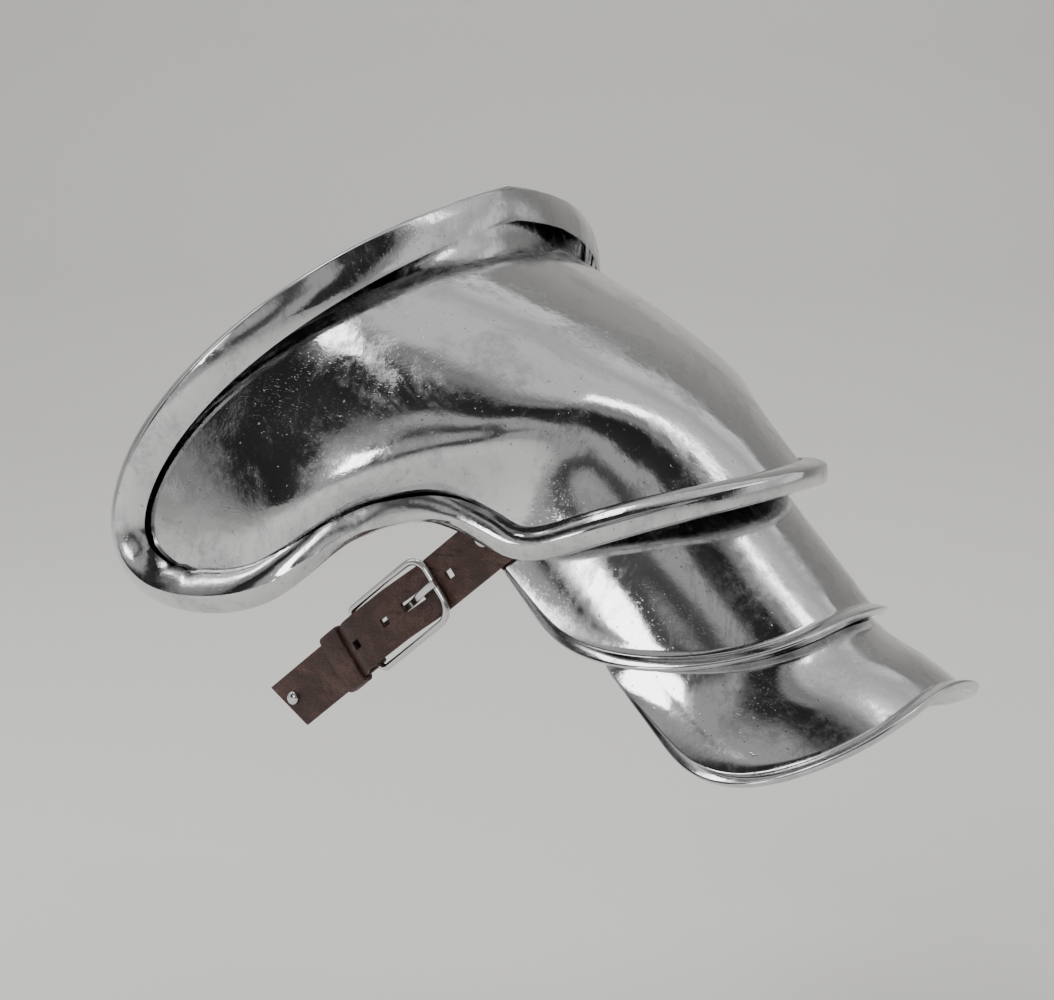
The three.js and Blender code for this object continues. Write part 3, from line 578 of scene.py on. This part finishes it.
def make_dark_leather():
    """Dark brown strap hide: pebbled grain, fine creases across it, worn paler in scattered patches."""
    group = bpy.data.node_groups.new("dark_leather", "ShaderNodeTree")
    face = group.interface
    face.new_socket("Wear", in_out="INPUT", socket_type="NodeSocketFloat").default_value = 0.5
    for name, kind in (("Color", "NodeSocketColor"), ("Roughness", "NodeSocketFloat"), ("Height", "NodeSocketFloat")):
        face.new_socket(name, in_out="OUTPUT", socket_type=kind)
    nodes, links = group.nodes, group.links
    given, result = nodes.new("NodeGroupInput"), nodes.new("NodeGroupOutput")
    place = nodes.new("ShaderNodeTexCoord").outputs["Object"]
    pebble = nodes.new("ShaderNodeTexVoronoi")
    pebble.feature = "DISTANCE_TO_EDGE"
    pebble.inputs["Scale"].default_value = 620
    links.new(place, pebble.inputs["Vector"])
    grain = ranged(nodes, links, pebble.outputs["Distance"], 0.0, 0.35)
    cloud = noise(nodes, links, place, 60, 5, 0.6, warp=0.4)
    crease = ranged(nodes, links, noise(nodes, links, place, 150, 4, 0.6, ((0.2, 0.66, 0.1), (0.5, 3, 3))), 0.56, 0.7)
    worn = maths(nodes, links, "MULTIPLY", ranged(nodes, links, cloud, 0.48, 0.7), given.outputs["Wear"])
    tone = mixed(nodes, links, ranged(nodes, links, cloud, 0.35, 0.65),
                 (0.040, 0.0170, 0.0135, 1), (0.086, 0.038, 0.030, 1))
    tone = mixed(nodes, links, worn, tone, (0.15, 0.088, 0.072, 1))
    grooves = ranged(nodes, links, pebble.outputs["Distance"], 0.12, 0.0, 0.0, 0.55)
    tone = mixed(nodes, links, grooves, tone, (0.014, 0.0065, 0.005, 1))
    tone = mixed(nodes, links, maths(nodes, links, "MULTIPLY", crease, 0.5), tone, (0.016, 0.007, 0.0055, 1))
    links.new(tone, result.inputs["Color"])
    links.new(ranged(nodes, links, cloud, 0.3, 0.7, 0.42, 0.62), result.inputs["Roughness"])
    height = maths(nodes, links, "SUBTRACT", maths(nodes, links, "MULTIPLY", grain, 0.45),
                   maths(nodes, links, "MULTIPLY", crease, 0.9))
    links.new(height, result.inputs["Height"])
    return group


dark_leather = make_dark_leather()


def leather_finish(name, wear):
    finish = bpy.data.materials.new(name)
    finish.use_nodes = True
    nodes, links = finish.node_tree.nodes, finish.node_tree.links
    shader = nodes["Principled BSDF"]
    hide = nodes.new("ShaderNodeGroup")
    hide.node_tree = dark_leather
    hide.inputs["Wear"].default_value = wear
    bump = nodes.new("ShaderNodeBump")
    bump.inputs["Distance"].default_value = 0.0004
    links.new(hide.outputs["Height"], bump.inputs["Height"])
    links.new(bump.outputs["Normal"], shader.inputs["Normal"])
    links.new(hide.outputs["Color"], shader.inputs["Base Color"])
    links.new(hide.outputs["Roughness"], shader.inputs["Roughness"])
    shader.inputs["Specular IOR Level"].default_value = 0.45
    return finish


def faced_outward(piece):
    """Turns every face of a closed piece outward."""
    shape = bmesh.new()
    shape.from_mesh(piece.data)
    bmesh.ops.recalc_face_normals(shape, faces=shape.faces)
    shape.to_mesh(piece.data)
    shape.free()
    return piece


def swept_band(name, line, across, out, half_width, thickness, placed=True):
    """A leather band with rounded edges, swept along its middle line."""
    arc = np.linspace(-0.5 * math.pi, 0.5 * math.pi, 7)
    round_edge = 0.5 * thickness
    section = [(half_width - round_edge + round_edge * math.cos(a), round_edge * math.sin(a)) for a in arc]
    flat = np.linspace(half_width - round_edge, -(half_width - round_edge), 9)[1:-1]
    section += [(x, round_edge) for x in flat]
    section += [(-x, -z) for x, z in section]
    rings = [centre + np.array([x * a + z * o for x, z in section])
             for centre, a, o in zip(line, across, out)]
    steps = len(section)
    faces = [list(range(steps))[::-1], [(len(rings) - 1) * steps + k for k in range(steps)]]
    for ring in range(len(rings) - 1):
        low, high = ring * steps, (ring + 1) * steps
        faces += [(low + k, low + (k + 1) % steps, high + (k + 1) % steps, high + k) for k in range(steps)]
    piece = new_piece(name, np.vstack(rings), faces, 50, placed)
    return faced_outward(piece)


hidden_leather = leather_finish("hidden_leather", wear=0.35)
for name, node, at in (("crown_hide", "crown_leather", 0.0), ("front_hide", "front_leather", -0.5),
                       ("back_hide", "back_leather", 0.5)):
    stops, sides, outs = [], [], []
    for surface, thickness, shares in leather_stops:
        u, v = np.array(shares), np.full(len(shares), at + beside_ridge)
        point, _, along_v, out = surface_frame(surface, u, v)
        stops.append(point - out * (thickness + leather_clearance + 0.5 * leather_thickness))
        sides.append(along_v / np.linalg.norm(along_v, axis=1)[:, None])
        outs.append(out)
    stops, sides, outs = np.vstack(stops), np.vstack(sides), np.vstack(outs)
    strip_share = np.linspace(0, 1, 41)
    fine_stops, fine_sides, fine_outs = (
        np.stack([np.interp(strip_share * (len(stops) - 1), np.arange(len(stops)), rows[:, k]) for k in range(3)], 1)
        for rows in (stops, sides, outs))
    hide_strip = swept_band(name, fine_stops, fine_sides, fine_outs, 0.5 * leather_width - 1.5, leather_thickness)
    hide_strip.data.materials.append(hidden_leather)
    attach(hide_strip, "root")
    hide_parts(node)


# Strap: a holed billet of dark hide riveted to the upper lame's corner, buckled and looped to a short strap that ends
# in a stud. Places are along the strap, across it and out from it; the frame below lays that on the lame's front.
strap_width, billet_length, strap_length = 25.0, 112.5, 151.5
anchor_thickness, strap_gap = 1.6, 1.2
strap_angle = math.radians(38.3)
strap_start_x, strap_start_z = 45.6, -134.0
strap_base = np.array((strap_start_x, -(lame_radius + strap_gap), strap_start_z)) - bearing
strap_frame = Matrix((
    (-math.cos(strap_angle), math.sin(strap_angle), 0, strap_base[0] * 0.001),
    (0, 0, -1, strap_base[1] * 0.001),
    (-math.sin(strap_angle), -math.cos(strap_angle), 0, strap_base[2] * 0.001),
    (0, 0, 0, 1),
))
hole_size, hole_pitch, first_hole, prong_hole = 4.2, 19.5, 33.4, 11.0
rivet_along, rivet_across, rivet_hole = 8.0, -3.0, 1.8
buckle_start, buckle_length, buckle_width, buckle_bar = 40.0, 52.0, 34.0, 3.2
clearance = 0.3
bar_centre = strap_thickness + clearance + 0.5 * buckle_bar
hinge_along = buckle_start + buckle_length - 0.5 * buckle_bar
far_bar_along = buckle_start + 0.5 * buckle_bar
loop_radius = 0.5 * buckle_bar + clearance + anchor_thickness
anchor_low = bar_centre - loop_radius
anchor_high = anchor_low + anchor_thickness
keeper_length, keeper_thickness = 12.0, 1.6
billet_tuck = 1
keeper_start = billet_length - keeper_length + billet_tuck
over_hinge = bar_centre + loop_radius + clearance + 0.5 * strap_thickness
in_keeper = anchor_high + clearance + 0.5 * strap_thickness
lying = 0.5 * strap_thickness
hump = over_hinge - lying
fall = over_hinge - in_keeper
billet_line = [
    (0, lying), (20, lying), (far_bar_along + 3, lying), (far_bar_along + 6.5, lying + 0.06 * hump),
    (far_bar_along + 10, lying + 0.2 * hump),
    (far_bar_along + 18, lying + 0.55 * hump), (far_bar_along + 24, lying + 0.8 * hump),
    (hinge_along - 5, lying + 0.98 * hump), (hinge_along, over_hinge), (hinge_along + 4, over_hinge - 0.1 * fall),
    (hinge_along + 7, in_keeper + 0.4 * fall), (keeper_start - 1, in_keeper), (billet_length, in_keeper),
]


def strap_piece(piece, slot_name, finish, *nodes):
    """Lays a piece made in the strap's own frame on the pauldron."""
    piece.data.transform(strap_frame)
    piece.data.materials.append(finish)
    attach(piece, "root")
    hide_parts(*nodes)


def band_line(name, line, half_width, thickness, step=0.8):
    """A band of the strap from points along and out."""
    line = np.array(line, float)
    run = np.concatenate([[0], np.cumsum(np.hypot(*np.diff(line, axis=0).T))])
    at = np.linspace(0, run[-1], int(run[-1] / step) + 1)
    x, z = np.interp(at, run, line[:, 0]), np.interp(at, run, line[:, 1])
    for _ in range(4):
        z[1:-1] = 0.25 * z[:-2] + 0.5 * z[1:-1] + 0.25 * z[2:]
    slope = np.stack([np.gradient(x), np.gradient(z)], 1)
    slope /= np.linalg.norm(slope, axis=1)[:, None]
    middle = np.stack([x, np.zeros_like(x), z], 1)
    across = np.tile((0.0, 1.0, 0.0), (len(x), 1))
    out = np.stack([-slope[:, 1], np.zeros_like(x), slope[:, 0]], 1)
    return swept_band(name, middle, across, out, half_width, thickness, placed=False)


def punched(piece, punches):
    """Cuts right through a strap; a punch is its kind, along, across, length or radius, width and turn."""
    depth = 40
    for kind, x, y, length, width, turn in punches:
        shape = bmesh.new()
        if kind == "square":
            bmesh.ops.create_cube(shape, size=1)
            bmesh.ops.scale(shape, vec=(length, width, depth), verts=shape.verts)
        else:
            bmesh.ops.create_cone(shape, cap_ends=True, segments=28, radius1=length, radius2=length, depth=depth)
        cutter_mesh = bpy.data.meshes.new("punch")
        shape.to_mesh(cutter_mesh)
        shape.free()
        laid = Matrix.Translation((x, y, 0)) @ Matrix.Rotation(turn, 4, "Z")
        cutter_mesh.transform(Matrix.Scale(0.001, 4) @ laid)
        cutter = bpy.data.objects.new("punch", cutter_mesh)
        bpy.context.collection.objects.link(cutter)
        cut = piece.modifiers.new("cut", "BOOLEAN")
        cut.operation, cut.solver, cut.object = "DIFFERENCE", "EXACT", cutter
        mesh = bpy.data.meshes.new_from_object(piece.evaluated_get(bpy.context.evaluated_depsgraph_get()))
        piece.modifiers.clear()
        piece.data = mesh
        bpy.data.objects.remove(cutter)
    piece.data.set_sharp_from_angle(angle=math.radians(50))
    return piece


strap_leather = leather_finish("strap_leather", wear=0.7)
half_strap = 0.5 * strap_width
billet = band_line("billet", billet_line, half_strap, strap_thickness)
corner_cut = math.radians(45)
punched(billet, [
    ("round", rivet_along, rivet_across, rivet_hole, 0, 0),
    ("square", first_hole, 0, hole_size, hole_size, 0),
    ("square", first_hole + 1.16 * hole_pitch, 0, prong_hole, hole_size + 0.6, 0),
    ("square", first_hole + 2 * hole_pitch, 0, hole_size, hole_size, 0),
    ("square", first_hole + 3 * hole_pitch, 0, hole_size, hole_size, 0),
    ("square", -1.5, half_strap + 1.5, 10, 5.6, corner_cut),
    ("square", -1.5, -half_strap - 1.5, 10, 5.6, -corner_cut),
])
strap_piece(billet, "leather", strap_leather, "strap_billet")

loop_angles = np.radians(np.linspace(58, 270, 20))
loop_line = [(hinge_along + (loop_radius - 0.5 * anchor_thickness) * math.cos(a),
              bar_centre + (loop_radius - 0.5 * anchor_thickness) * math.sin(a)) for a in loop_angles]
anchor_middle = anchor_low + 0.5 * anchor_thickness
anchor_line = [*loop_line, (hinge_along + 3, anchor_middle), (hinge_along + 10, anchor_middle),
               (strap_length + 6, anchor_middle)]
anchor = band_line("anchor", anchor_line, half_strap, anchor_thickness, step=0.6)
stud_along, stud_across, stud_hole = strap_length - 5.0, -1.6, 1.5
end_slant = math.atan2(8, strap_width)
punched(anchor, [
    ("round", stud_along, stud_across, stud_hole, 0, 0),
    ("square", hinge_along - 0.5, 0, 9.6, 4.4, 0),
    ("square", strap_length + 10.6, 0, 20, 60, end_slant),
])
strap_piece(anchor, "leather", strap_leather, "strap_anchor")


def keeper_ring():
    """The loop of hide that holds the billet's tip against the anchor strap, its edges rounded."""
    half = half_strap + clearance
    low, high = anchor_low - clearance, in_keeper + 0.5 * strap_thickness + clearance
    rings = []
    corner = 1.0

    def outline(grow):
        points = []
        for cy, cz, start in ((half, high, 0), (-half, high, 90), (-half, low, 180), (half, low, 270)):
            centre = (cy - math.copysign(corner, cy), cz + (corner if cz == low else -corner))
            for turn in range(0, 91, 15):
                angle = math.radians(start + turn)
                reach = corner + grow
                points.append((centre[0] + reach * math.cos(angle), centre[1] + reach * math.sin(angle)))
        return points

    profile = [
        (0.0, 0.0), (0.0, 0.35), (0.25, 0.8), (0.7, 1.0), (0.5 * keeper_length, 1.06),
        (keeper_length - 0.7, 1.0), (keeper_length - 0.25, 0.8), (keeper_length, 0.35), (keeper_length, 0.0),
    ]
    for along, grow in profile:
        rings.append([(keeper_start + along, y, z) for y, z in outline(grow * keeper_thickness)])
    steps = len(rings[0])
    faces = []
    for ring in range(len(rings)):
        here, after = ring * steps, (ring + 1) % len(rings) * steps
        faces += [(here + k, after + k, after + (k + 1) % steps, here + (k + 1) % steps) for k in range(steps)]
    piece = new_piece("keeper", np.vstack(rings), faces, 50, placed=False)
    return faced_outward(piece)


strap_piece(keeper_ring(), "leather", strap_leather, "strap_keeper")


# Buckle: a plain frame of bright steel wire with rounded corners, its prong hooked on the bar under the billet and
# lying through a hole on the far bar.
buckle_steel = steel_finish("buckle_steel", smudge=0.35, scratch=0.6, relief=0.0003)


def wire_loop(name, centres, radius):
    """A closed loop of round wire along points."""
    centres = np.array(centres, float)
    count = len(centres)
    sides = 14
    run = np.roll(centres, -1, 0) - np.roll(centres, 1, 0)
    run /= np.linalg.norm(run, axis=1)[:, None]
    up = np.tile((0.0, 0.0, 1.0), (count, 1))
    side = np.cross(run, up)
    side /= np.linalg.norm(side, axis=1)[:, None]
    turns = np.linspace(0, 2 * math.pi, sides, endpoint=False)
    rings = [centre + radius * np.array([math.cos(a) * s + math.sin(a) * u for a in turns])
             for centre, s, u in zip(centres, side, up)]
    faces = []
    for ring in range(count):
        here, after = ring * sides, (ring + 1) % count * sides
        faces += [(here + k, here + (k + 1) % sides, after + (k + 1) % sides, after + k) for k in range(sides)]
    piece = new_piece(name, np.vstack(rings), faces, 60, placed=False)
    return faced_outward(piece)


frame_half = 0.5 * (buckle_width - buckle_bar)
hinge_corner, far_corner = 3, 8.5
frame_corners = [
    (hinge_along, frame_half, 0, hinge_corner), (far_bar_along, frame_half, 90, far_corner),
    (far_bar_along, -frame_half, 180, far_corner), (hinge_along, -frame_half, 270, hinge_corner),
]
frame_points = []
for x, y, start, corner in frame_corners:
    centre_x = x - math.copysign(corner, x - 0.5 * (hinge_along + far_bar_along))
    centre_y = y - math.copysign(corner, y)
    for turn in range(0, 91, 9):
        angle = math.radians(start + turn)
        frame_points.append((centre_x + corner * math.cos(angle), centre_y + corner * math.sin(angle), bar_centre))
strap_piece(wire_loop("buckle_wire", frame_points, 0.5 * buckle_bar), "steel", buckle_steel, "buckle_frame")

prong_width, prong_thickness = 3.4, 1.6
prong_low = bar_centre - 0.5 * buckle_bar + 0.5 * prong_thickness
prong_high = bar_centre + 0.5 * buckle_bar + clearance + 0.5 * prong_thickness
eye_radius = 0.5 * buckle_bar + clearance + 0.6
eye_turns = np.radians(range(250, -61, -20))
eye_line = [(hinge_along + eye_radius * math.cos(a), bar_centre + eye_radius * math.sin(a)) for a in eye_turns]
prong_line = [
    (far_bar_along - 2, prong_high - 0.2), (far_bar_along + 1, prong_high), (far_bar_along + 5, prong_high - 0.3),
    (far_bar_along + 9, prong_low + 0.7 * (prong_high - prong_low)), (far_bar_along + 16, prong_low),
    (hinge_along - 4, prong_low), *eye_line,
]
prong = band_line("prong_tongue", prong_line, 0.5 * prong_width, thickness=1.2, step=0.5)
strap_piece(prong, "steel", buckle_steel, "buckle_prong")


# Rivet and stud: domed steel heads; the rivet holds the strap to the upper lame's corner, the stud is for the strap
# that it buttons to.
def domed_rivet(name, radius, shank, head_seat, foot_seat, along, across):
    profile = [(0, foot_seat - 1), (0.75 * radius, foot_seat - 1), (0.8 * radius, foot_seat - 0.8),
               (0.8 * radius, foot_seat), (shank, foot_seat), (shank, head_seat), (0.97 * radius, head_seat),
               (radius, head_seat + 0.25)]
    profile += [(radius * math.cos(math.radians(a)), head_seat + 0.25 + 0.57 * radius * math.sin(math.radians(a)))
                for a in range(9, 90, 9)]
    profile.append((0, head_seat + 0.25 + 0.57 * radius))
    sides = 36
    turns = [2 * math.pi * k / sides for k in range(sides)]
    vertices, faces = [(along, across, profile[0][1])], []
    for r, z in profile[1:-1]:
        vertices += [(along + r * math.cos(a), across + r * math.sin(a), z) for a in turns]
    vertices.append((along, across, profile[-1][1]))
    rings = len(profile) - 2
    for k in range(sides):
        j = (k + 1) % sides
        faces.append((0, 1 + j, 1 + k))
        for ring in range(rings - 1):
            low, high = 1 + ring * sides, 1 + (ring + 1) * sides
            faces.append((low + k, low + j, high + j, high + k))
        faces.append((1 + (rings - 1) * sides + k, 1 + (rings - 1) * sides + j, len(vertices) - 1))
    return new_piece(name, vertices, faces, 45, placed=False)


rivet_radius, rivet_shank, stud_radius, stud_shank = 4.5, 1.5, 3.2, 1.2
rivet_head, rivet_foot = strap_thickness + clearance, -strap_gap - lame_thickness - 0.9
stud_head, stud_foot = anchor_high + clearance, anchor_low - clearance
rivet = domed_rivet("rivet", rivet_radius, rivet_shank, rivet_head, rivet_foot, rivet_along, rivet_across)
strap_piece(rivet, "steel", buckle_steel, "strap_rivet")
stud = domed_rivet("stud", stud_radius, stud_shank, stud_head, stud_foot, stud_along, stud_across)
strap_piece(stud, "steel", buckle_steel, "end_stud")

shown_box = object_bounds()
{"cad": [list(corner) for corner in cad_box], "visual": [list(corner) for corner in shown_box]}
